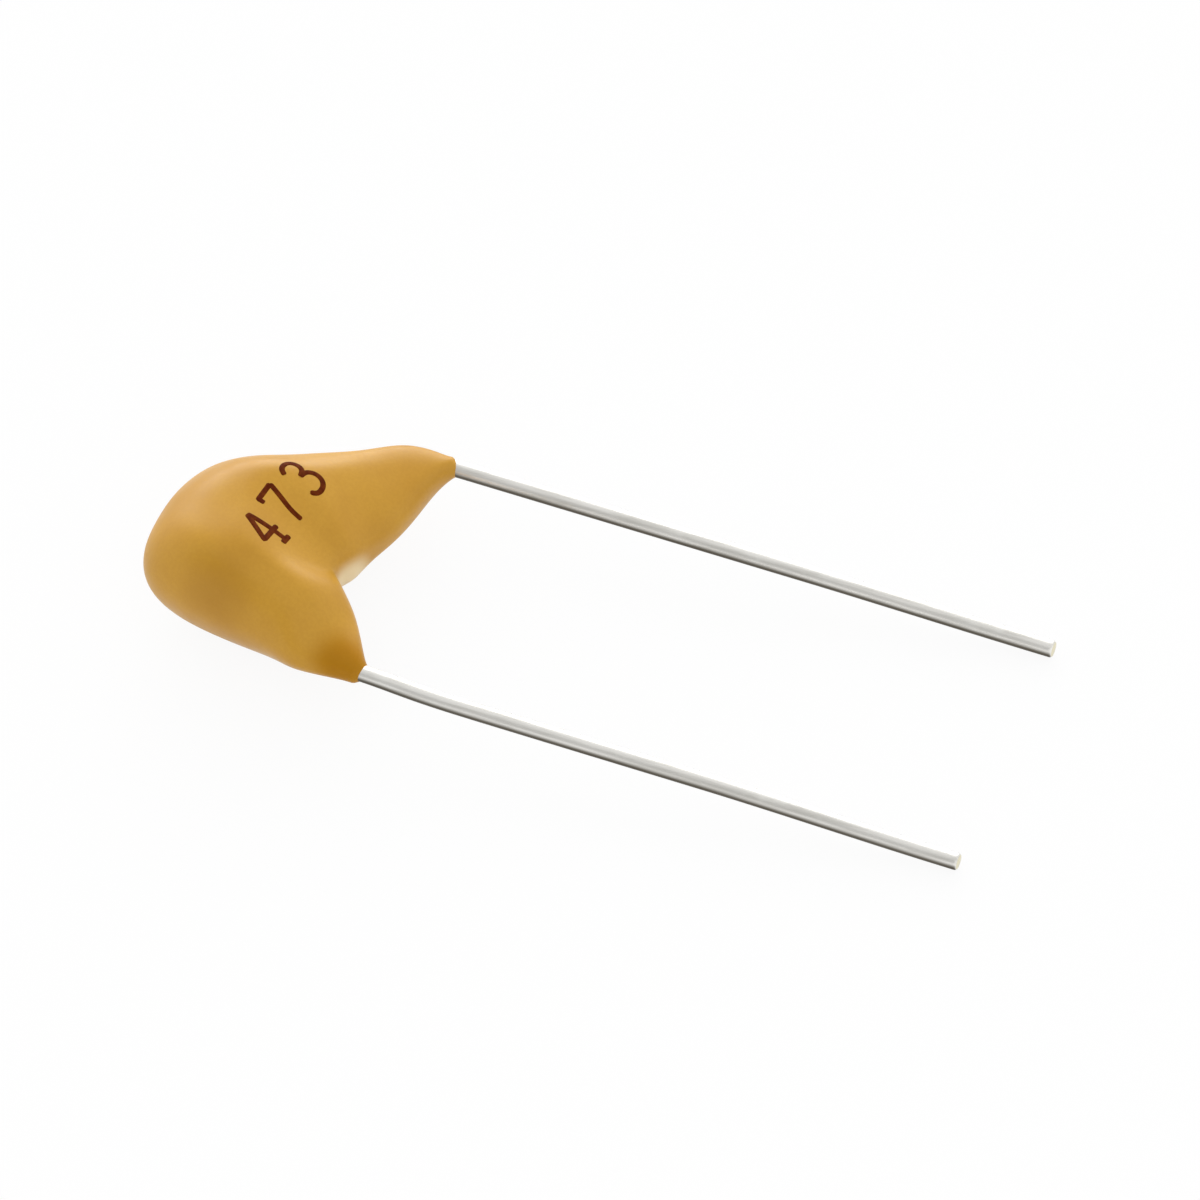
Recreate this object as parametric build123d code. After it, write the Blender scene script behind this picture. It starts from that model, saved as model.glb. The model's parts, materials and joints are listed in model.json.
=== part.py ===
"""Radial ceramic capacitor: a multilayer chip soldered between two tinned wire leads, dipped in epoxy.

The epoxy is a flat pebble round the chip that runs down both leads as two legs with a crotch between them.
Millimetres, +Z up. The part is drawn with its leads along +X in the plane Z = 0, then laid down as it comes to
rest: on the belly of the coating and on the cut ends of both leads, origin at the bottom centre of its box.
"""

import os
from math import asin, cos, degrees, radians, sin

from build123d import *

# Wire leads: straight outside the coating, bent inwards under it to meet the chip
lead_pitch = 5.08
lead_diameter = 0.32
lead_free_length = 11.5
lead_bend_radius = 0.45
lead_exit_run = 0.24
lead_end_break = 0.03

# Ceramic chip, off the middle line of the leads, with a metal cap fired on each end
chip_length = 2.0
chip_width = 1.25
chip_height = 1.1
chip_offset = -0.4
chip_edge_break = 0.06
cap_band = 0.4
cap_wall = 0.04

# Solder joint between each lead and its cap
solder_gap = 0.04
solder_half_height = 0.38
solder_skin = 0.05
solder_end_inset = 0.1
hollow_share = 0.5

# Epoxy coating: an egg round the chip, and a leg down each lead from a crotch between them
coat_face_wall = 0.64
coat_side_wall = 0.62
coat_nose_wall = 1.56
coat_leg_length = 1.82
coat_film = 0.05
waist_shift = -0.25
nose_offset = -0.59
crotch_wall = 0.74
crotch_height = 1.19
crotch_overlap = 0.2
shoulder_inset = 0.1

# Sections of the egg, as angles from its nose, and of the legs, as shares of the sizes they follow
egg_angles = (20, 40, 65, 90, 115, 140, 160)
root_width_share = 0.89
root_height_share = 0.55
hip_run_share = 0.45
hip_width_share = 0.51
hip_height_share = 0.44
leg_run_shares = (0, 0.35, 0.68, 1)
leg_width_shares = (0, 0.33, 0.61, 1)
leg_height_shares = (0, 0.42, 0.86, 1)

# Sizes that follow from those above
lead_radius = lead_diameter / 2
lead_line = lead_pitch / 2
cap_face = chip_length / 2 + cap_wall
lead_seat = cap_face + solder_gap + lead_radius
chip_edge = chip_width / 2 + cap_wall
waist_half_width = lead_seat + lead_radius + coat_side_wall
waist_half_height = chip_height / 2 + cap_wall + coat_face_wall
nose_length = chip_edge + coat_nose_wall
leg_end = chip_edge + coat_leg_length
crotch_line = chip_edge + crotch_wall
shoulder_half_width = lead_line + lead_radius - shoulder_inset
tip_half_height = lead_radius + coat_film
inner_line = lead_line - tip_half_height
outer_line = lead_line + tip_half_height
sides = {"near": -1, "far": 1}
settling_turns = 6


def between(start, end, share):
    """The value that lies a share of the way from start to end."""
    return start + (end - start) * share


def ceramic_chip():
    """The fired ceramic block, with its edges tumbled off."""
    block = Pos(Y=chip_offset) * Box(chip_width, chip_length, chip_height)
    return chamfer(block.edges(), chip_edge_break)


def end_cap(side, chip):
    """A metal cap that wraps one end of the chip and a band of its four sides."""
    depth = cap_band + cap_wall
    middle = chip_offset + side * (cap_face - depth / 2)
    shell = Pos(Y=middle) * Box(chip_width + 2 * cap_wall, depth, chip_height + 2 * cap_wall)
    outer_end = shell.faces().sort_by(Axis.Y)[0 if side < 0 else -1]
    rim = outer_end.edges()
    corners = shell.edges().filter_by(Axis.Y)
    return chamfer(rim + corners, chip_edge_break) - chip


def lead(side):
    """One wire: along the cap, slanting out to the lead pitch, then straight to its cut end."""
    seat_y = chip_offset + side * lead_seat
    line_y = side * lead_line
    route = FilletPolyline(
        (-chip_width / 2, seat_y),
        (chip_edge, seat_y),
        (leg_end - lead_exit_run, line_y),
        (leg_end + lead_free_length, line_y),
        radius=lead_bend_radius,
    )
    wire = sweep(Plane(route @ 0, z_dir=route % 0) * Circle(lead_radius), path=route)
    cut_end = wire.faces().sort_by(Axis.X)[-1]
    return chamfer(cut_end.edges(), lead_end_break)


def solder_joint(side, wire):
    """Solder that fills the gap between wire and cap and rises along both as a hollow meniscus."""
    cap_y = chip_offset + side * cap_face
    wire_y = chip_offset + side * lead_seat
    crown = lead_radius + solder_skin
    hollow_z = between(crown, solder_half_height, hollow_share) - solder_gap
    hollow = (between(cap_y, wire_y, hollow_share), hollow_z)
    outline = [
        Line((cap_y, -solder_half_height), (cap_y, solder_half_height)),
        ThreePointArc((cap_y, solder_half_height), hollow, (wire_y, crown)),
        Line((wire_y, crown), (wire_y, -crown)),
        ThreePointArc((wire_y, -crown), (hollow[0], -hollow[1]), (cap_y, -solder_half_height)),
    ]
    length = chip_width - 2 * solder_end_inset
    profile = Plane.YZ.offset(-length / 2) * make_face(outline)
    return extrude(profile, amount=length, dir=(1, 0, 0)) - wire


def oval(x, inner, outer, half_height):
    """An elliptical section of the coating across the leads, its curve starting at the inner edge."""
    start = 180 if outer > inner else 0
    ellipse = Ellipse(abs(outer - inner) / 2, half_height, rotation=start)
    return Plane.YZ.offset(x) * (Pos((inner + outer) / 2) * ellipse)


def egg():
    """The pebble round the chip: ellipses that grow and shrink as the sine of an angle from nose to crotch."""
    sections = [Vertex(-nose_length, nose_offset, 0)]
    for angle in egg_angles:
        end, end_y = (-nose_length, nose_offset) if angle < 90 else (crotch_line, chip_offset)
        lean = abs(cos(radians(angle)))
        size = sin(radians(angle))
        middle = between(chip_offset, end_y, lean)
        reach = waist_half_width * size
        x = between(waist_shift, end, lean)
        sections.append(oval(x, middle + reach, middle - reach, waist_half_height * size))
    return loft(sections + [Vertex(crotch_line, chip_offset, 0)])


def leg(side):
    """One leg of the coating: from inside the egg, past the crotch, down to a film on its lead."""
    waist_edge = chip_offset + side * waist_half_width
    shoulder = side * shoulder_half_width
    sections = [
        oval(
            waist_shift,
            chip_offset,
            between(chip_offset, waist_edge, root_width_share),
            waist_half_height * root_height_share,
        ),
        oval(
            between(waist_shift, crotch_line, hip_run_share),
            chip_offset - side * crotch_overlap,
            between(waist_edge, shoulder, hip_width_share),
            between(crotch_height / 2, waist_half_height, hip_height_share),
        ),
    ]
    for run, width, height in zip(leg_run_shares, leg_width_shares, leg_height_shares):
        sections.append(
            oval(
                between(crotch_line, leg_end, run),
                between(chip_offset, side * inner_line, width),
                between(shoulder, side * outer_line, run),
                between(crotch_height / 2, tip_half_height, height),
            )
        )
    return loft(sections)


def coating(inside):
    """The dipped epoxy: egg and legs in one skin, open only where the leads come out."""
    skin = egg() + leg(sides["far"]) + leg(sides["near"])
    for piece in inside:
        skin -= piece
    return skin


def lowest(shapes):
    """The lowest height that any of the shapes reaches."""
    return min(shape.bounding_box().min.Z for shape in shapes)


def laid_down(pieces):
    """The pieces turned about Y until belly and lead ends touch one plane, with the origin below their middle."""
    reach = leg_end + lead_free_length
    leads = [pieces[f"lead_{name}"] for name in sides]
    tilt = 0
    for _ in range(settling_turns):
        turn = Rot(Y=tilt)
        drop = lowest([turn * wire for wire in leads]) - lowest([turn * pieces["epoxy_coating"]])
        tilt += degrees(asin(drop / reach))
    turned = {name: Rot(Y=tilt) * piece for name, piece in pieces.items()}
    box = Compound(list(turned.values())).bounding_box()
    middle = box.center()
    return {name: Pos(-middle.X, -middle.Y, -box.min.Z) * piece for name, piece in turned.items()}


def build():
    """All pieces by name, drawn with the leads level and then laid down."""
    chip = ceramic_chip()
    pieces = {"ceramic_chip": chip}
    for name, side in sides.items():
        pieces[f"lead_{name}"] = lead(side)
        pieces[f"end_cap_{name}"] = end_cap(side, chip)
        pieces[f"solder_joint_{name}"] = solder_joint(side, pieces[f"lead_{name}"])
    pieces["epoxy_coating"] = coating(list(pieces.values()))
    return laid_down(pieces)


if __name__ == "__main__":
    os.makedirs("parts", exist_ok=True)
    for name, piece in build().items():
        export_step(piece, f"parts/{name}.step")
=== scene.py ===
"""Dresses the dipped ceramic capacitor: epoxy coating, tinned leads, ink marking and a small white studio.

The pieces are worked out in the part's own level frame, in millimetres: +X along the leads from the
chip's middle, +Y from the near lead to the far one, +Z out of the plane of the leads. place() turns that
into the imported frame.
"""

import json
import math

import bpy
import numpy as np
from mathutils import Matrix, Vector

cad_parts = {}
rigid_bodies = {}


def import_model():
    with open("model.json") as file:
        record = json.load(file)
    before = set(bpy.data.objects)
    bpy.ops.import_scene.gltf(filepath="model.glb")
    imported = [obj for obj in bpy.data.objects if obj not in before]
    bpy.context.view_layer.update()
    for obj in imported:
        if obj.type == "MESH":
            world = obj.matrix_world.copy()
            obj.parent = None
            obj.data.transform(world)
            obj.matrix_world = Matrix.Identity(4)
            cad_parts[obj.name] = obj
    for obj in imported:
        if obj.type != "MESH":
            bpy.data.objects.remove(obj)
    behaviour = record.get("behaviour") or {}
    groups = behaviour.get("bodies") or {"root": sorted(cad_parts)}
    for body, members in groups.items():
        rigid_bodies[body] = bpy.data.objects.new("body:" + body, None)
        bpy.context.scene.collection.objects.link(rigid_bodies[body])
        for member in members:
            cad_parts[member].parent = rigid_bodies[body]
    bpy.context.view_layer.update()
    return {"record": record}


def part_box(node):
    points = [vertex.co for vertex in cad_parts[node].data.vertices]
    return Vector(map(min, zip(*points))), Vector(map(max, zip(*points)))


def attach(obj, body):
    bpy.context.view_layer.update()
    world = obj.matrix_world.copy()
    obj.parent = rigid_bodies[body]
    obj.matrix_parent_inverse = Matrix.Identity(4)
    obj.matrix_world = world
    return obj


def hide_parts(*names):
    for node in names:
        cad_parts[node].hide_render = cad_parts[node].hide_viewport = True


bl_info = {
    "name": "Dipped ceramic capacitor",
    "version": (1, 0, 0),
    "blender": (4, 5, 0),
    "location": "3D View > Sidebar > Capacitor",
    "description": "Epoxy, tinned leads, ink marking and a white studio for a radial ceramic capacitor",
    "category": "Object",
}

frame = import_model()

MM = 0.001

# The level frame, from the pins' common axis and the middle of the chip
pins = {mount["name"]: mount for mount in frame["record"]["mounts"]}
near_pin = pins["lead_near_pin"]
far_pin = pins["lead_far_pin"]
level_x = np.array(near_pin["axis"])
level_y = np.array([0.0, 1.0, 0.0])
level_axes = np.stack([level_x, level_y, np.cross(level_x, level_y)])
pins_middle = (np.array(near_pin["pos_m"]) + np.array(far_pin["pos_m"])) / 2
chip_low, chip_high = (np.array(corner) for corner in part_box("ceramic_chip"))
level_origin = (chip_low + chip_high) / 2
level_origin[1] = pins_middle[1]

# Sizes in millimetres that the pieces share
LEAD_RADIUS = near_pin["dims"]["r_mm"]
LEAD_LINE = (far_pin["pos_m"][1] - near_pin["pos_m"][1]) / 2 / MM
LEAD_TIP = float((pins_middle - level_origin) @ level_x) / MM + near_pin["dims"]["length_mm"] / 2
CHIP_SIDE = float((chip_low[1] + chip_high[1]) / 2 - level_origin[1]) / MM
CAP_AND_SOLDER = 0.08
SEAT_REACH = float(chip_high[1] - chip_low[1]) / 2 / MM + CAP_AND_SOLDER + LEAD_RADIUS

# Sections of the coating from the near lead's film round the nose to the far lead's film:
# inner end x, y, outer end x, y, half height, share of it lost on the slope down to the inner end, where
# across the section that slope starts, and the fullness of the inner and of the outer side
COAT_SECTIONS = np.array(
    [
        (2.65, -2.30, 2.50, -2.50, 0.10, 0.00, 0.0, 2.0, 2.0),
        (2.50, -2.20, 2.35, -2.60, 0.20, 0.00, 0.0, 2.0, 2.0),
        (2.30, -1.90, 2.10, -2.60, 0.30, 0.00, 0.0, 2.0, 2.0),
        (1.95, -1.35, 1.30, -2.65, 0.45, 0.10, 0.0, 2.5, 2.0),
        (1.60, -0.95, 0.60, -2.45, 0.85, 0.25, 0.0, 3.0, 2.0),
        (1.40, -0.75, -0.75, -2.20, 1.10, 0.40, 0.0, 3.5, 2.0),
        (1.30, -0.65, -1.95, -1.75, 1.25, 0.45, 0.0, 4.0, 2.0),
        (1.30, -0.55, -2.25, -0.55, 1.25, 0.45, -0.1, 4.0, 2.0),
        (1.35, -0.40, -1.85, 0.80, 1.25, 0.45, -0.3, 4.0, 1.75),
        (1.50, -0.15, -0.75, 1.40, 1.10, 0.40, -0.4, 4.0, 2.0),
        (1.70, 0.30, 0.45, 1.95, 0.80, 0.35, -0.5, 3.0, 3.0),
        (2.00, 1.05, 1.40, 2.60, 0.50, 0.15, -0.4, 2.5, 3.0),
        (2.20, 1.95, 2.10, 2.75, 0.30, 0.00, 0.0, 2.0, 2.0),
        (2.40, 2.40, 2.25, 2.75, 0.20, 0.00, 0.0, 2.0, 2.0),
        (2.50, 2.45, 2.35, 2.70, 0.10, 0.00, 0.0, 2.0, 2.0),
    ]
)
COAT_ROWS = 320
COAT_COLUMNS = 220
RING_STEPS = 2400
JUST_BELOW_ONE = 0.999999

# Slow swells that the dip leaves in the coating: depth in millimetres, radians per millimetre along x, y
# and z, and phase
SWELLS = (
    (0.010, 1.9, 1.2, 0.6, 0.4),
    (0.008, -1.4, 2.3, 1.1, 2.1),
    (0.005, 3.1, -2.6, 1.7, 4.4),
    (0.004, 2.2, 4.3, -1.9, 1.0),
)

# Half height of the coating where the swells begin, and how much more of it brings them to their full depth
SWELL_START = 0.2
SWELL_RUN = 0.5

# Lead route: along the chip's cap, then out to the lead line as an S, then straight to the cut end
LEAD_START = -0.62
SLANT_START = 0.55
SLANT_END = 2.3
BEND_END = 3.0
BEND_ROWS = 120
LEAD_ROWS = 420
LEAD_COLUMNS = 48

# How far the near lead (-1) and the far one (1) stray towards +Y: a lean that grows under the coating and
# returns before the tip, and a lift where the wire leaves the coating
LEAD_LEAN = {-1: 0.07, 1: 0.04}
LEAN_START = 1.2
LEAN_RUN = 1.2
LEAN_RETURN = 5.0
EXIT_LIFT = {-1: 0.09, 1: 0.0}
EXIT_REACH = 1.1

# Worn edge of the cut end: the share of the wire's radius that is lost, and over what share of it this fades
WORN_SHARE = 0.18
WORN_REACH_SHARE = 0.09

# Marking: three plain numerals, each a list of strokes through points in a box one unit high, x to the
# reader's right. A stroke with CURVE_POINTS or more is a curve
NUMERALS = (
    (((0.40, 1.0), (0.02, 0.33), (0.58, 0.33)), ((0.41, 1.0), (0.41, 0.0)), ((0.27, 0.0), (0.56, 0.0))),
    (((0.03, 0.84), (0.03, 1.0), (0.55, 1.0)), ((0.55, 1.0), (0.40, 0.62), (0.28, 0.30), (0.23, 0.0))),
    (
        ((0.05, 0.84), (0.14, 0.96), (0.28, 1.0), (0.43, 0.93), (0.48, 0.76), (0.41, 0.60), (0.23, 0.54)),
        ((0.23, 0.54), (0.44, 0.48), (0.53, 0.28), (0.45, 0.08), (0.27, 0.0), (0.11, 0.03), (0.02, 0.16)),
    ),
)
CURVE_POINTS = 4
INK_HEIGHT = 0.80
INK_STROKE = 0.115
INK_RISE = 0.007
INK_SINK = 0.006
INK_EDGE_POWER = 6
INK_END_RUN_SHARE = 0.6
INK_END_SHARE = 0.75
INK_START = (0.31, -1.05)
INK_ADVANCE = 0.72
INK_TURN = math.radians(8)
STROKE_STEPS = 60
STROKE_COLUMNS = 13

# The skin that the marking is draped on: how far a tangent plane counts, the half lengths of the area that
# it is taken from, and the least upward part of its normals
DRAPE_REACH = 0.06
DRAPE_HALF_X = 1.0
DRAPE_HALF_Y = 1.6
DRAPE_UPWARD = 0.3

# Colours as sRGB codes
EPOXY = "#CA962A"
EPOXY_CLOUD = "#C28D22"
EPOXY_GRAIN = "#B47E18"
INK = "#561D02"
INK_THIN = "#6E3008"
TIN = "#EDEBE6"
TIN_STREAK = "#D8D6D0"
TIN_BLOTCH = "#F2F1EC"
# Painted shade: a dark reflection painted into the colour of the wire's lower near side
TIN_PAINTED_SHADE = "#554E42"
TIN_CUT = "#E9E2C6"
FIRED_CERAMIC = "#8A7A66"
PLATED_CAP = "#C9C8C4"
SOFT_SOLDER = "#B9BABC"
HIDDEN_UNEVEN = "#6E665A"
PAPER = (0.9, 0.9, 0.9, 1.0)
WHITE = (1.0, 1.0, 1.0, 1.0)

# Patches in the epoxy's colour, in level millimetres: a darker patch on the near side, another at the near
# leg's tip, and a painted highlight, a pale cream patch, on the crotch wall
PATCHES = {
    # A darker patch on the near side
    "dark_patch": dict(point=(-0.50, -2.05, 0.65), reach=0.10, soft=0.95, strength=0.5, colour="#A8740C"),
    # A darker patch at the near leg's tip, with less specular there
    "dark_tip": dict(point=(2.15, -2.45, 0.25), reach=0.20, soft=0.65, strength=0.7, colour="#A46A00"),
    # Painted highlight: a pale cream patch in the colour of the crotch wall
    "crotch_highlight": dict(point=(1.36, -0.30, -0.25), reach=0.20, soft=0.46, strength=0.9, colour="#F4E0B4"),
}

# Noise patterns: lumps to a millimetre, detail, and the band of the noise that runs from none to all
CLOUDS = (0.75, 3.0, (0.32, 0.68))
GRAIN = (16.0, 2.0, (0.3, 0.7))
SHEEN = (2.2, 3.0, (0.3, 0.7))
INK_WEAR = (11.0, 3.0, (0.35, 0.75))
UNEVEN = (6.0, 3.0, (0.3, 0.7))

# Finish of the epoxy, with bump depths in millimetres here and below
EPOXY_IOR = 1.42
EPOXY_ROUGHNESS = (0.34, 0.42)
GRAIN_SHARE = 0.2
# Specular level away from the darker patch at the near leg's tip, and at its middle
DARK_TIP_SPECULAR = (0.5, 0.15)
PEEL_LUMPS = 9.0
PEEL_DETAIL = 3.0
PEEL_STRENGTH = 0.25
PEEL_DEPTH = 0.004

# Finish of the ink
INK_IOR = 1.12
INK_ROUGHNESS = 0.5

# Finish of the tin: streaks along the wire, pale blotches, painted shade on its lower near side and a bare
# cut end
STREAK_STRETCH = (0.35, 9.0, 9.0)
STREAK_LUMPS = 1.0
STREAK_DETAIL = 4.0
STREAK_BAND = (0.38, 0.66)
BLOTCH_STRETCH = (1.0, 2.0, 2.0)
BLOTCH_LUMPS = 1.3
BLOTCH_DETAIL = 3.0
BLOTCH_BAND = (0.52, 0.7)
BLOTCH_SHARE = 0.6
TIN_NOISE_ROUGHNESS = 0.6
TIN_ROUGHNESS_BAND = (0.3, 0.7)
TIN_ROUGHNESS = (0.38, 0.48)
# Direction and band of cosines of the painted shade on the wire's lower near side
PAINTED_SHADE_DIRECTION = (0, -0.91, -0.42)
PAINTED_SHADE_EDGE = (0.5, 0.94)
CUT_DIRECTION = (1, 0, 0)
CUT_EDGE = (0.75, 0.9)
SCRATCH_STRENGTH = 0.25
SCRATCH_DEPTH = 0.005

# Finish of the sealed pieces
UNEVEN_SHARE = 0.3
CERAMIC_ROUGHNESS = 0.7
CAP_ROUGHNESS = 0.4
SOLDER_ROUGHNESS = 0.3

# View of the photograph: turn about the upright, height above the lead plane, pixels to a millimetre, and
# the pixel that shows the point TIPS_X along the level X axis
VIEW_AZIMUTH = math.radians(20.7)
VIEW_ELEVATION = math.radians(52.9)
PIXELS = 1200
PIXELS_PER_MM = 55.6
TIPS_PIXEL = (1007.5, 755.5)
TIPS_X = 14.0
LENS = 400.0
SENSOR = 36.0

# Floor: half its side in metres, and how much of what is seen of it is plain white
FLOOR_HALF = 0.4
FLOOR_GLOW_SHARE = 0.92

# Light, as directions in the level frame: a bright screen low behind the part, a dimmer ceiling, and a dark
# spot over the near side where the viewer stands. An edge is the band of cosines over which one fades in
SCREEN_DIRECTION = (-0.38, 0.91, 0.14)
SCREEN_EDGE = (0.74, 0.98)
CEILING_DIRECTION = (0, 0, 1)
CEILING_EDGE = (0.5, 0.85)
DARK_DIRECTION = (-0.31, -0.76, 0.57)
DARK_EDGE = (0.86, 0.98)
TENT_LEVEL = 1.05
SCREEN_LEVEL = 3.2
CEILING_SHARE = 0.78
DARK_SHARE = 0.45


def place(points):
    """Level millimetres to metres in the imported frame: origin + x X + y Y + z Z."""
    return level_origin + np.asarray(points, dtype=float) * MM @ level_axes


def turned(direction):
    """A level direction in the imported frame, of length one."""
    direction = np.asarray(direction, dtype=float) @ level_axes
    return tuple(direction / np.linalg.norm(direction))


def linear(code):
    """An sRGB hex colour as linear red, green, blue and alpha."""
    channels = [int(code[at:at + 2], 16) / 255 for at in (1, 3, 5)]
    return tuple(c / 12.92 if c <= 0.04045 else ((c + 0.055) / 1.055) ** 2.4 for c in channels) + (1.0,)


def smooth_curve(knots, at):
    """Natural cubic curve through knots at 0, 1, 2 and so on: Hermite spans with continuous bending."""
    knots = np.asarray(knots, dtype=float)
    count = len(knots)
    system = 4 * np.eye(count) + np.eye(count, k=1) + np.eye(count, k=-1)
    system[0, 0] = system[-1, -1] = 2
    before = np.vstack([knots[:1], knots[:-1]])
    after = np.vstack([knots[1:], knots[-1:]])
    slopes = np.linalg.solve(system, 3 * (after - before))
    span = np.clip(np.floor(at).astype(int), 0, count - 2)
    t = (np.asarray(at) - span)[:, None]
    start, end = knots[span], knots[span + 1]
    leave, arrive = slopes[span], slopes[span + 1]
    return (
        start * (2 * t**3 - 3 * t**2 + 1)
        + leave * (t**3 - 2 * t**2 + t)
        + end * (3 * t**2 - 2 * t**3)
        + arrive * (t**3 - t**2)
    )


def smooth_step(value):
    """0 below 0, 1 above 1 and 3t^2 - 2t^3 between."""
    t = np.clip(value, 0, 1)
    return t * t * (3 - 2 * t)


def smooth_mesh(name, points, faces):
    """A smooth-shaded mesh from points in the level frame."""
    mesh = bpy.data.meshes.new(name)
    mesh.from_pydata(place(points).tolist(), [], faces)
    mesh.shade_smooth()
    return mesh


def finished(name, mesh, material):
    """Puts a mesh in the scene as a piece that rides on the part."""
    mesh.materials.append(material)
    piece = bpy.data.objects.new(name, mesh)
    bpy.context.scene.collection.objects.link(piece)
    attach(piece, "root")
    return piece


def tube_object(name, grid, material):
    """A closed tube from a grid of rings: quads between rings and columns, a fan to a pole at each end."""
    rows, columns = grid.shape[:2]
    index = np.arange(rows * columns).reshape(rows, columns)
    ahead = np.roll(index, -1, axis=1)
    quads = np.stack([index[:-1], ahead[:-1], ahead[1:], index[1:]], axis=-1).reshape(-1, 4)
    first, last = rows * columns, rows * columns + 1
    start_fan = np.stack([ahead[0], index[0], np.full(columns, first)], axis=-1)
    end_fan = np.stack([index[-1], ahead[-1], np.full(columns, last)], axis=-1)
    poles = np.stack([grid[0].mean(axis=0), grid[-1].mean(axis=0)])
    points = np.vstack([grid.reshape(-1, 3), poles])
    mesh = smooth_mesh(name, points, quads.tolist() + start_fan.tolist() + end_fan.tolist())
    return finished(name, mesh, material)


def coat_grid():
    """The coating as a bent tube: at each place along it a flattened ring from its inner to its outer end.

    P(u, v) = M(u) + w(u) D(u) a + Z h(u) b (1 - k(u) s), with a = sgn(cos v)|cos v|^(2/n) and
    b = sgn(sin v)|sin v|^(2/n). M is the middle of the section, w D half its width towards the inner end,
    h its half height and k the share lost on the slope. s is a smooth step from 0 where a passes the slope's
    start to 1 at the inner end. The fullness n is a smooth step of cos v from the outer side's value to the
    inner side's. Each ring is then spaced evenly along its own length, and the swells move the skin along
    its normals.
    """
    along = np.linspace(0, len(COAT_SECTIONS) - 1, COAT_ROWS)
    sections = smooth_curve(COAT_SECTIONS, along).T[..., None]
    inner_x, inner_y, outer_x, outer_y, half_height, slope, slope_start, inner_full, outer_full = sections
    angle = np.linspace(0, 2 * math.pi, RING_STEPS)
    cosine, sine = np.cos(angle), np.sin(angle)
    fullness = outer_full + (inner_full - outer_full) * smooth_step((cosine + 1) / 2)
    across = np.sign(cosine) * np.abs(cosine) ** (2 / fullness)
    height = np.sign(sine) * np.abs(sine) ** (2 / fullness)
    fall = smooth_step((across - slope_start) / (1 - slope_start))
    half_width = np.hypot(inner_x - outer_x, inner_y - outer_y) / 2
    wide, high = even_rings(half_width * across, half_height * height * (1 - slope * fall), COAT_COLUMNS)
    across = wide / half_width
    x = (inner_x + outer_x) / 2 + (inner_x - outer_x) / 2 * across
    y = (inner_y + outer_y) / 2 + (inner_y - outer_y) / 2 * across
    grid = np.stack([x, y, high], axis=-1)
    swell = sum(depth * np.sin(grid @ np.array(turns) + phase) for depth, *turns, phase in SWELLS)
    swell = swell * smooth_step((half_height - SWELL_START) / SWELL_RUN)
    return grid + swell[..., None] * grid_normals(grid)


def even_rings(wide, high, columns):
    """Points spaced evenly along each ring, read off at equal steps of lengths that are laid end to end."""
    rows = len(wide)
    steps = np.hypot(np.diff(wide, axis=1), np.diff(high, axis=1))
    length = np.concatenate([np.zeros((rows, 1)), np.cumsum(steps, axis=1)], axis=1)
    length = length / length[:, -1:] * JUST_BELOW_ONE + np.arange(rows)[:, None]
    at = (np.arange(columns) / columns)[None, :] + np.arange(rows)[:, None]
    read = [np.interp(at.ravel(), length.ravel(), value.ravel()) for value in (wide, high)]
    return [value.reshape(rows, columns) for value in read]


def grid_normals(grid):
    """Unit outward normals of a grid of closed rings: the cross product of its two directions."""
    along = np.gradient(grid, axis=0)
    around = np.roll(grid, -1, axis=1) - np.roll(grid, 1, axis=1)
    normal = np.cross(around, along)
    middle = grid.mean(axis=1, keepdims=True)
    sign = np.sign(np.mean(np.sum(normal * (grid - middle), axis=-1)))
    return sign * normal / np.maximum(np.linalg.norm(normal, axis=-1, keepdims=True), 1e-12)


def lead_grid(side):
    """A lead as a round wire: rings of the wire's radius square to its route, with a worn cut end.

    P(x, v) = C(x) + r(x) (cos v N(x) + sin v Z), where C = (x, y(x), 0), N is square to the route in the
    plane of the leads and r = R (1 - s exp(-(tip - x) / (c R))). y is a smooth step from the seat on the cap
    to the lead line, plus the lean, a smooth step up times one down, and the lift, L exp(-((x - e) / q)^2).
    """
    seat = CHIP_SIDE + side * SEAT_REACH
    bend = np.linspace(LEAD_START, BEND_END, BEND_ROWS)
    x = np.concatenate([bend, np.linspace(BEND_END, LEAD_TIP, LEAD_ROWS)[1:]])
    y = seat + (side * LEAD_LINE - seat) * smooth_step((x - SLANT_START) / (SLANT_END - SLANT_START))
    leaning = smooth_step((x - LEAN_START) / LEAN_RUN) * smooth_step((LEAD_TIP - x) / LEAN_RETURN)
    lift = np.exp(-(((x - SLANT_END) / EXIT_REACH) ** 2))
    y = y + LEAD_LEAN[side] * leaning + EXIT_LIFT[side] * lift
    centre = np.stack([x, y, np.zeros_like(x)], axis=-1)
    along = np.gradient(centre, axis=0)
    along /= np.linalg.norm(along, axis=1)[:, None]
    sideways = np.stack([-along[:, 1], along[:, 0], np.zeros_like(x)], axis=-1)
    from_end = (LEAD_TIP - x) / LEAD_RADIUS
    radius = LEAD_RADIUS * (1 - WORN_SHARE * np.exp(-from_end / WORN_REACH_SHARE))
    angle = np.linspace(0, 2 * math.pi, LEAD_COLUMNS, endpoint=False)
    ring = np.cos(angle)[None, :, None] * sideways[:, None, :]
    ring = ring + np.sin(angle)[None, :, None] * np.array([0.0, 0.0, 1.0])
    return centre[:, None, :] + radius[:, None, None] * ring


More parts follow.
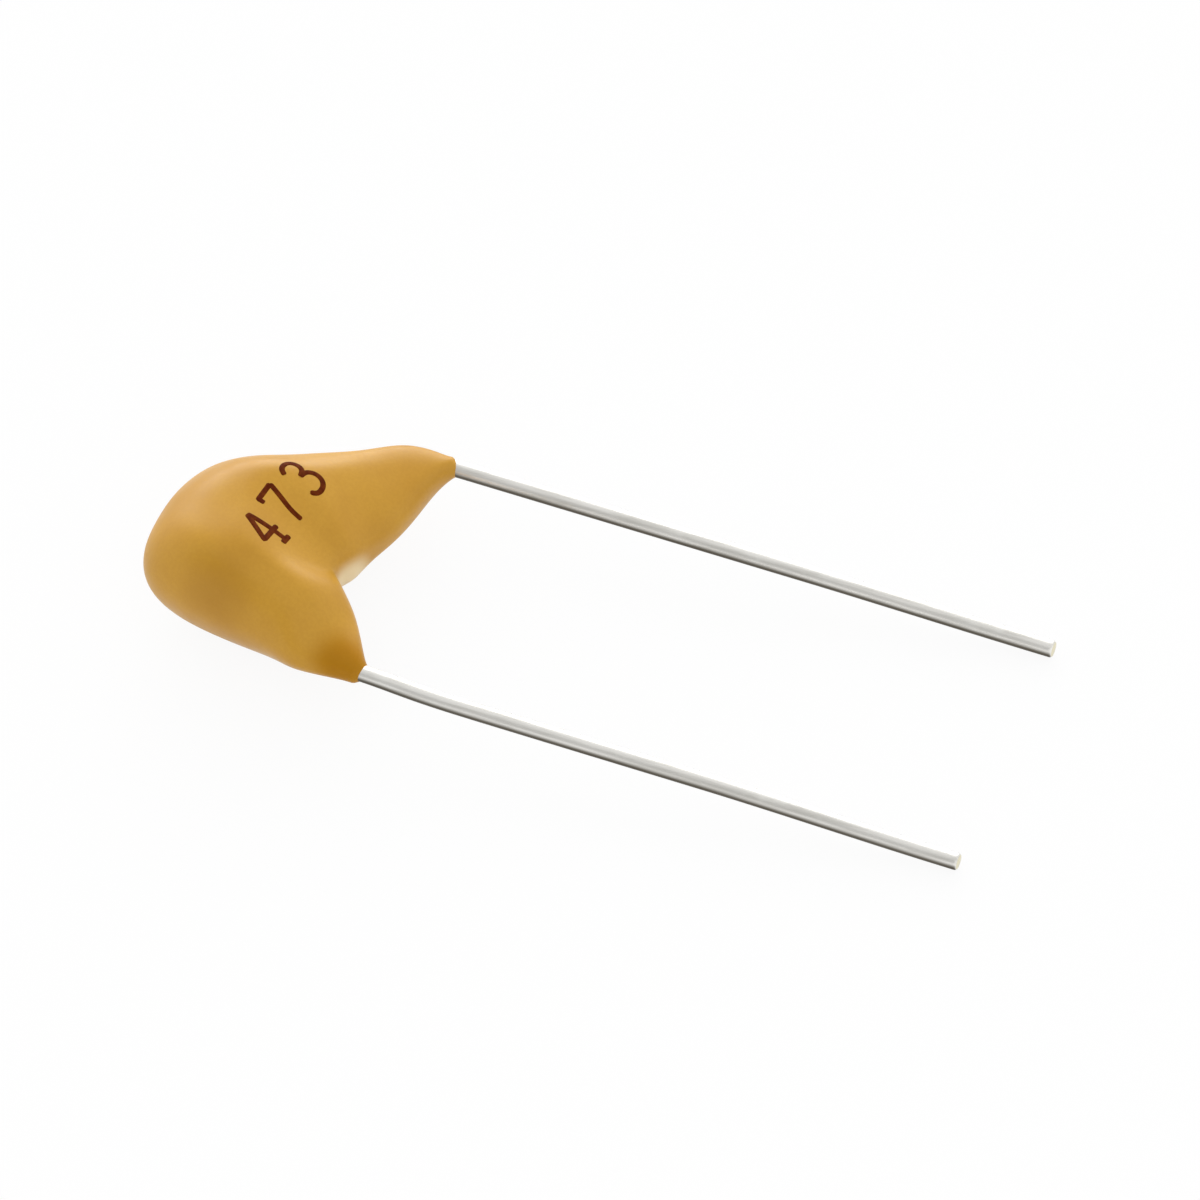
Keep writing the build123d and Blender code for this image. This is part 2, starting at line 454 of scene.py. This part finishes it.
def coat_top(grid):
    """The coating's upper skin over the marking as a function z(x, y).

    z is the mean of the planes z_k - (n_x dx + n_y dy) / n_z that touch the skin at nearby points k, each
    weighted by exp(-(dx^2 + dy^2) / r^2).
    """
    normals = grid_normals(grid)
    inside = (np.abs(grid[..., 0]) < DRAPE_HALF_X) & (np.abs(grid[..., 1]) < DRAPE_HALF_Y)
    over = (normals[..., 2] > DRAPE_UPWARD) & inside
    points, normals = grid[over], normals[over]
    lean = -normals[:, :2] / normals[:, 2:]

    def height(x, y):
        away = np.stack([x.ravel(), y.ravel()], axis=-1)[:, None, :] - points[None, :, :2]
        weight = np.exp(-np.sum(away**2, axis=-1) / DRAPE_REACH**2)
        planes = points[:, 2] + np.sum(lean * away, axis=-1)
        return (np.sum(weight * planes, axis=1) / np.sum(weight, axis=1)).reshape(x.shape)

    return height


def stroke_strip(points):
    """A stroke as a strip across its route, and how far each point of it stands above the skin.

    The half width is w sqrt(1 - c e^2), with e rising from 0 to 1 towards both ends, and the height is
    r - (r + d) a^p, with a from -1 to 1 across the strip, so that its two edges sink into the skin.
    """
    points = np.asarray(points, dtype=float)
    steps = np.linalg.norm(np.diff(points, axis=0), axis=1)
    knots = np.concatenate([[0], np.cumsum(steps)])
    at = np.linspace(0, knots[-1], STROKE_STEPS)
    if len(points) >= CURVE_POINTS:
        knot_at = np.interp(at, knots, np.arange(len(points)))
        route = smooth_curve(points, knot_at)
    else:
        route = np.stack([np.interp(at, knots, points[:, k]) for k in range(2)], axis=-1)
    half = INK_STROKE / INK_HEIGHT / 2
    ahead = np.gradient(route, axis=0)
    ahead /= np.linalg.norm(ahead, axis=1)[:, None]
    left = np.stack([-ahead[:, 1], ahead[:, 0]], axis=-1)
    end_gap = np.minimum(at, knots[-1] - at) / (INK_END_RUN_SHARE * half)
    width = half * np.sqrt(1 - np.clip(1 - end_gap, 0, 1) ** 2 * INK_END_SHARE)
    across = np.linspace(-1, 1, STROKE_COLUMNS)
    strip = route[:, None, :] + (width[:, None] * across[None, :])[..., None] * left[:, None, :]
    rise = INK_RISE - (INK_RISE + INK_SINK) * across[None, :] ** INK_EDGE_POWER
    return strip, np.broadcast_to(rise, strip.shape[:2])


def ink_mesh(name):
    """The marking's strokes, turned to the reader's side and draped over the coating's upper skin."""
    skin = coat_top(coat_grid())
    right = np.array([math.sin(INK_TURN), math.cos(INK_TURN)])
    up = np.array([-math.cos(INK_TURN), math.sin(INK_TURN)])
    points, faces, count = [], [], 0
    for number, strokes in enumerate(NUMERALS):
        start = np.array(INK_START) + right * INK_ADVANCE * number
        for stroke in strokes:
            strip, rise = stroke_strip(stroke)
            flat = start + INK_HEIGHT * (strip[..., :1] * right + strip[..., 1:] * up)
            z = skin(flat[..., 0], flat[..., 1]) + rise
            points.append(np.concatenate([flat, z[..., None]], axis=-1).reshape(-1, 3))
            index = np.arange(strip.shape[0] * strip.shape[1]).reshape(strip.shape[:2]) + count
            quads = np.stack([index[:-1, :-1], index[1:, :-1], index[1:, 1:], index[:-1, 1:]], axis=-1)
            faces.append(quads.reshape(-1, 4))
            count += index.size
    return smooth_mesh(name, np.vstack(points), np.vstack(faces).tolist())


def add_node(tree, kind, settings=None, **inputs):
    """Adds a node, sets its properties, then sets or links its inputs by name, spaces written as _."""
    node = tree.nodes.new(kind)
    for name, value in (settings or {}).items():
        setattr(node, name, value)
    for name, value in inputs.items():
        key = int(name[3:]) if name.startswith("at_") else name.replace("_", " ")
        socket = node.inputs[key]
        if isinstance(value, bpy.types.NodeSocket):
            tree.links.new(value, socket)
        else:
            socket.default_value = value
    return node


def empty_tree(owner):
    """The node tree of a material or a world, with nothing in it."""
    owner.use_nodes = True
    owner.node_tree.nodes.clear()
    return owner.node_tree


def new_material(name):
    """A node material with its output and a Principled shader linked to it."""
    material = bpy.data.materials.new(name)
    tree = empty_tree(material)
    shader = add_node(tree, "ShaderNodeBsdfPrincipled")
    add_node(tree, "ShaderNodeOutputMaterial", Surface=shader.outputs["BSDF"])
    return material, tree, shader


def millimetres(tree, stretch=(1.0, 1.0, 1.0)):
    """The piece's own coordinates in millimetres, stretched along its axes."""
    place_on = add_node(tree, "ShaderNodeTexCoord").outputs["Object"]
    scale = tuple(share / MM for share in stretch)
    return add_node(tree, "ShaderNodeMapping", Vector=place_on, Scale=scale).outputs["Vector"]


def noise(tree, vector, lumps, detail, roughness=0.5):
    """Smooth noise with the given number of lumps to a millimetre."""
    node = add_node(
        tree, "ShaderNodeTexNoise", Vector=vector, Scale=lumps, Detail=detail, Roughness=roughness,
    )
    return node.outputs[0]


def ramp(tree, value, band, to=(0.0, 1.0)):
    """Maps a band of values onto a smooth step between two others."""
    node = add_node(
        tree, "ShaderNodeMapRange", {"interpolation_type": "SMOOTHSTEP"},
        Value=value, From_Min=band[0], From_Max=band[1], To_Min=to[0], To_Max=to[1],
    )
    return node.outputs[0]


def pattern(tree, vector, kind, to=(0.0, 1.0)):
    """One of the noise patterns, as a smooth step between two values."""
    lumps, detail, band = kind
    return ramp(tree, noise(tree, vector, lumps, detail), band, to)


def blend(tree, share, first, second):
    """Mixes two colours by a share."""
    node = add_node(
        tree, "ShaderNodeMix", {"data_type": "RGBA"}, at_0=share, at_6=first, at_7=second,
    )
    return node.outputs[2]


def times(tree, first, second):
    """Product of two values."""
    return add_node(tree, "ShaderNodeMath", {"operation": "MULTIPLY"}, at_0=first, at_1=second).outputs[0]


def facing(tree, vector, direction):
    """Cosine of the angle between a vector and a level direction."""
    node = add_node(
        tree, "ShaderNodeVectorMath", {"operation": "DOT_PRODUCT"}, at_0=vector, at_1=turned(direction),
    )
    return node.outputs[1]


def patch_share(tree, patch):
    """A patch's strength around its point, falling to 0 over the soft edge beyond its reach."""
    centre = tuple(place(patch["point"]) / MM)
    gap = add_node(
        tree, "ShaderNodeVectorMath", {"operation": "DISTANCE"}, at_0=millimetres(tree), at_1=centre,
    )
    edge = (patch["reach"], patch["reach"] + patch["soft"])
    return times(tree, ramp(tree, gap.outputs[1], edge, (1.0, 0.0)), patch["strength"])


def dipped_epoxy(settings):
    """Filled epoxy put on by dipping: satin gloss, cloudy colour, two darker patches, painted highlight in
    the crotch, faint peel.
    """
    material, tree, shader = new_material("dipped_epoxy")
    spot = millimetres(tree)
    colour = blend(tree, pattern(tree, spot, CLOUDS), settings.epoxy_colour, linear(EPOXY_CLOUD))
    colour = blend(tree, times(tree, pattern(tree, spot, GRAIN), GRAIN_SHARE), colour, linear(EPOXY_GRAIN))
    shares = {name: patch_share(tree, patch) for name, patch in PATCHES.items()}
    # Blends in each patch: the two darker patches and the painted highlight on the crotch wall
    for name, patch in PATCHES.items():
        colour = blend(tree, shares[name], colour, linear(patch["colour"]))
    tree.links.new(colour, shader.inputs["Base Color"])
    tree.links.new(pattern(tree, spot, SHEEN, EPOXY_ROUGHNESS), shader.inputs["Roughness"])
    shader.inputs["IOR"].default_value = EPOXY_IOR
    # Less specular over the darker patch at the near leg's tip
    dark_tip_specular = ramp(tree, shares["dark_tip"], (0.0, PATCHES["dark_tip"]["strength"]), DARK_TIP_SPECULAR)
    tree.links.new(dark_tip_specular, shader.inputs["Specular IOR Level"])
    lumps = noise(tree, spot, PEEL_LUMPS, PEEL_DETAIL)
    peel = add_node(tree, "ShaderNodeBump", Strength=PEEL_STRENGTH, Distance=PEEL_DEPTH * MM, Height=lumps)
    tree.links.new(peel.outputs[0], shader.inputs["Normal"])
    return material


def marking_ink(settings):
    """Dark red-brown stamping ink, thin and a little uneven."""
    material, tree, shader = new_material("marking_ink")
    worn = pattern(tree, millimetres(tree), INK_WEAR)
    tree.links.new(blend(tree, worn, settings.ink_colour, linear(INK_THIN)), shader.inputs["Base Color"])
    shader.inputs["Roughness"].default_value = INK_ROUGHNESS
    shader.inputs["IOR"].default_value = INK_IOR
    return material


def tinned_wire(settings):
    """Tin-plated wire, drawn and dipped: grey metal, lengthwise streaks, painted shade on one side, bare cut
    end.
    """
    material, tree, shader = new_material("tinned_wire")
    along = millimetres(tree, STREAK_STRETCH)
    streaks = noise(tree, along, STREAK_LUMPS, STREAK_DETAIL, TIN_NOISE_ROUGHNESS)
    spread = millimetres(tree, BLOTCH_STRETCH)
    blotches = noise(tree, spread, BLOTCH_LUMPS, BLOTCH_DETAIL, TIN_NOISE_ROUGHNESS)
    pale = ramp(tree, blotches, BLOTCH_BAND, (0.0, BLOTCH_SHARE))
    outward = add_node(tree, "ShaderNodeTexCoord").outputs["Normal"]
    # Painted shade: darkens the wire's colour on its lower near side, standing in for a dark reflection
    painted_shade = ramp(tree, facing(tree, outward, PAINTED_SHADE_DIRECTION), PAINTED_SHADE_EDGE)
    cut = ramp(tree, facing(tree, outward, CUT_DIRECTION), CUT_EDGE)
    colour = blend(tree, ramp(tree, streaks, STREAK_BAND), settings.tin_colour, linear(TIN_STREAK))
    colour = blend(tree, pale, colour, linear(TIN_BLOTCH))
    colour = blend(tree, painted_shade, colour, linear(TIN_PAINTED_SHADE))
    colour = blend(tree, cut, colour, linear(TIN_CUT))
    tree.links.new(colour, shader.inputs["Base Color"])
    shader.inputs["Metallic"].default_value = 1.0
    tree.links.new(ramp(tree, streaks, TIN_ROUGHNESS_BAND, TIN_ROUGHNESS), shader.inputs["Roughness"])
    scratches = add_node(
        tree, "ShaderNodeBump", Strength=SCRATCH_STRENGTH, Distance=SCRATCH_DEPTH * MM, Height=streaks,
    )
    tree.links.new(scratches.outputs[0], shader.inputs["Normal"])
    return material


def hidden_material(name, colour, metallic, roughness):
    """A piece sealed inside the coating: fired ceramic, plated cap or solder, with a slight unevenness."""
    material, tree, shader = new_material(name)
    uneven = pattern(tree, millimetres(tree), UNEVEN, (0.0, UNEVEN_SHARE))
    tree.links.new(blend(tree, uneven, linear(colour), linear(HIDDEN_UNEVEN)), shader.inputs["Base Color"])
    shader.inputs["Metallic"].default_value = metallic
    shader.inputs["Roughness"].default_value = roughness
    return material


def colour_setting(name, description, code):
    """A colour that a user can change, starting from an sRGB code."""
    return bpy.props.FloatVectorProperty(
        name=name, description=description, subtype="COLOR", size=4, default=linear(code),
    )


class CapacitorSettings(bpy.types.PropertyGroup):
    """Colours that a user would change."""

    epoxy_colour: colour_setting("Epoxy colour", "Colour of the dipped coating", EPOXY)
    ink_colour: colour_setting("Ink colour", "Colour of the stamped marking", INK)
    tin_colour: colour_setting("Tin colour", "Colour of the plated leads", TIN)


class CAPACITOR_OT_coating(bpy.types.Operator):
    """Make the dipped epoxy coating"""

    bl_idname = "capacitor.coating"
    bl_label = "Epoxy coating"

    def execute(self, context):
        material = dipped_epoxy(context.scene.capacitor)
        piece = tube_object("dipped_coating", coat_grid(), material)
        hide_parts("epoxy_coating")
        return {"FINISHED"}


class CAPACITOR_OT_leads(bpy.types.Operator):
    """Make both tinned leads"""

    bl_idname = "capacitor.leads"
    bl_label = "Tinned leads"

    def execute(self, context):
        material = tinned_wire(context.scene.capacitor)
        for name, side in (("near", -1), ("far", 1)):
            piece = tube_object(f"wire_{name}", lead_grid(side), material)
            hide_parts(f"lead_{name}")
        return {"FINISHED"}


class CAPACITOR_OT_marking(bpy.types.Operator):
    """Stamp the marking on the coating"""

    bl_idname = "capacitor.marking"
    bl_label = "Stamped marking"

    def execute(self, context):
        mesh = ink_mesh("marking")
        finished("marking", mesh, marking_ink(context.scene.capacitor))
        return {"FINISHED"}


class CAPACITOR_OT_inside(bpy.types.Operator):
    """Give the sealed pieces their finishes"""

    bl_idname = "capacitor.inside"
    bl_label = "Chip, caps and solder"

    def execute(self, context):
        finishes = {
            "ceramic_chip": hidden_material("fired_ceramic", FIRED_CERAMIC, 0.0, CERAMIC_ROUGHNESS),
            "end_cap": hidden_material("plated_cap", PLATED_CAP, 1.0, CAP_ROUGHNESS),
            "solder_joint": hidden_material("soft_solder", SOFT_SOLDER, 1.0, SOLDER_ROUGHNESS),
        }
        for piece in bpy.context.scene.objects:
            for name, material in finishes.items():
                if piece.name.startswith(name) and piece.type == "MESH":
                    piece.data.materials.clear()
                    piece.data.materials.append(material)
        return {"FINISHED"}


class CAPACITOR_OT_stage(bpy.types.Operator):
    """Make the floor, the light and the camera"""

    bl_idname = "capacitor.stage"
    bl_label = "White studio"

    def execute(self, context):
        make_floor()
        make_world()
        make_camera()
        return {"FINISHED"}


def make_floor():
    """A pale sheet under the part that stays white to the eye and keeps the part's shadow."""
    mesh = bpy.data.meshes.new("floor")
    corners = [(x * FLOOR_HALF, y * FLOOR_HALF, 0) for x, y in ((-1, -1), (1, -1), (1, 1), (-1, 1))]
    mesh.from_pydata(corners, [], [(0, 1, 2, 3)])
    material = bpy.data.materials.new("white_paper")
    tree = empty_tree(material)
    path = add_node(tree, "ShaderNodeLightPath")
    seen = add_node(
        tree, "ShaderNodeMath", {"operation": "ADD"},
        at_0=path.outputs["Is Camera Ray"], at_1=path.outputs["Is Glossy Ray"],
    )
    seen = add_node(
        tree, "ShaderNodeMath", {"operation": "ADD", "use_clamp": True},
        at_0=seen.outputs[0], at_1=path.outputs["Is Transmission Ray"],
    )
    paper = add_node(tree, "ShaderNodeBsdfDiffuse", Color=PAPER)
    glow = add_node(tree, "ShaderNodeEmission", Color=WHITE, Strength=1.0)
    mixed = add_node(
        tree, "ShaderNodeMixShader",
        at_0=times(tree, seen.outputs[0], FLOOR_GLOW_SHARE), at_1=paper.outputs[0], at_2=glow.outputs[0],
    )
    add_node(tree, "ShaderNodeOutputMaterial", Surface=mixed.outputs[0])
    mesh.materials.append(material)
    floor = bpy.data.objects.new("floor", mesh)
    bpy.context.scene.collection.objects.link(floor)


def make_world():
    """A pale tent: a bright screen behind the part, a dimmer ceiling, a dark spot at the viewer's side."""
    world = bpy.data.worlds.new("studio")
    bpy.context.scene.world = world
    tree = empty_tree(world)
    way = add_node(tree, "ShaderNodeTexCoord").outputs["Generated"]
    way = add_node(tree, "ShaderNodeVectorMath", {"operation": "NORMALIZE"}, at_0=way).outputs[0]
    levels = (TENT_LEVEL, TENT_LEVEL + SCREEN_LEVEL)
    screen = ramp(tree, facing(tree, way, SCREEN_DIRECTION), SCREEN_EDGE, levels)
    ceiling = ramp(tree, facing(tree, way, CEILING_DIRECTION), CEILING_EDGE, (1.0, CEILING_SHARE))
    dark = ramp(tree, facing(tree, way, DARK_DIRECTION), DARK_EDGE, (1.0, DARK_SHARE))
    strength = times(tree, times(tree, screen, ceiling), dark)
    tent = add_node(tree, "ShaderNodeBackground", Color=WHITE, Strength=strength)
    add_node(tree, "ShaderNodeOutputWorld", Surface=tent.outputs[0])


def view_axes():
    """Right, up and towards the viewer, in the level frame, for the photograph's view."""
    right = np.array([math.cos(VIEW_AZIMUTH), math.sin(VIEW_AZIMUTH), 0.0])
    ahead = np.array([-math.sin(VIEW_AZIMUTH), math.cos(VIEW_AZIMUTH), 0.0])
    up = ahead * math.sin(VIEW_ELEVATION) + np.array([0.0, 0.0, math.cos(VIEW_ELEVATION)])
    return right, up, np.cross(right, up)


def make_camera():
    """A long lens at the photograph's angle, so that its picture is the photograph's frame."""
    right, up, back = view_axes()
    middle = PIXELS / 2
    centre = np.array([TIPS_X, 0.0, 0.0])
    centre = centre + right * (middle - TIPS_PIXEL[0]) / PIXELS_PER_MM
    centre = centre - up * (middle - TIPS_PIXEL[1]) / PIXELS_PER_MM
    distance = PIXELS / PIXELS_PER_MM * LENS / SENSOR
    data = bpy.data.cameras.new("camera")
    data.lens = LENS
    data.sensor_width = SENSOR
    data.sensor_fit = "HORIZONTAL"
    camera = bpy.data.objects.new("camera", data)
    bpy.context.scene.collection.objects.link(camera)
    matrix = np.eye(4)
    matrix[:3, :3] = (np.stack([right, up, back]) @ level_axes).T
    matrix[:3, 3] = place(centre + back * distance)
    camera.matrix_world = Matrix(matrix.tolist())
    bpy.context.scene.camera = camera


class CAPACITOR_PT_panel(bpy.types.Panel):
    """Lists the pieces in the sidebar"""

    bl_label = "Ceramic capacitor"
    bl_idname = "CAPACITOR_PT_panel"
    bl_space_type = "VIEW_3D"
    bl_region_type = "UI"
    bl_category = "Capacitor"

    def draw(self, context):
        settings = context.scene.capacitor
        for name in settings.__annotations__:
            self.layout.prop(settings, name)
        for operator in OPERATORS:
            self.layout.operator(operator.bl_idname)


OPERATORS = (
    CAPACITOR_OT_coating,
    CAPACITOR_OT_marking,
    CAPACITOR_OT_leads,
    CAPACITOR_OT_inside,
    CAPACITOR_OT_stage,
)
CLASSES = (CapacitorSettings, *OPERATORS, CAPACITOR_PT_panel)


def register():
    """Registers the settings, the operators and the panel."""
    for entry in CLASSES:
        bpy.utils.register_class(entry)
    bpy.types.Scene.capacitor = bpy.props.PointerProperty(type=CapacitorSettings)


def unregister():
    """Takes them out again, in the opposite order."""
    del bpy.types.Scene.capacitor
    for entry in reversed(CLASSES):
        bpy.utils.unregister_class(entry)


def main():
    """Makes every piece and the studio."""
    register()
    bpy.context.scene.view_settings.view_transform = "Standard"
    bpy.ops.capacitor.coating()
    bpy.ops.capacitor.marking()
    bpy.ops.capacitor.leads()
    bpy.ops.capacitor.inside()
    bpy.ops.capacitor.stage()


if __name__ == "__main__":
    main()
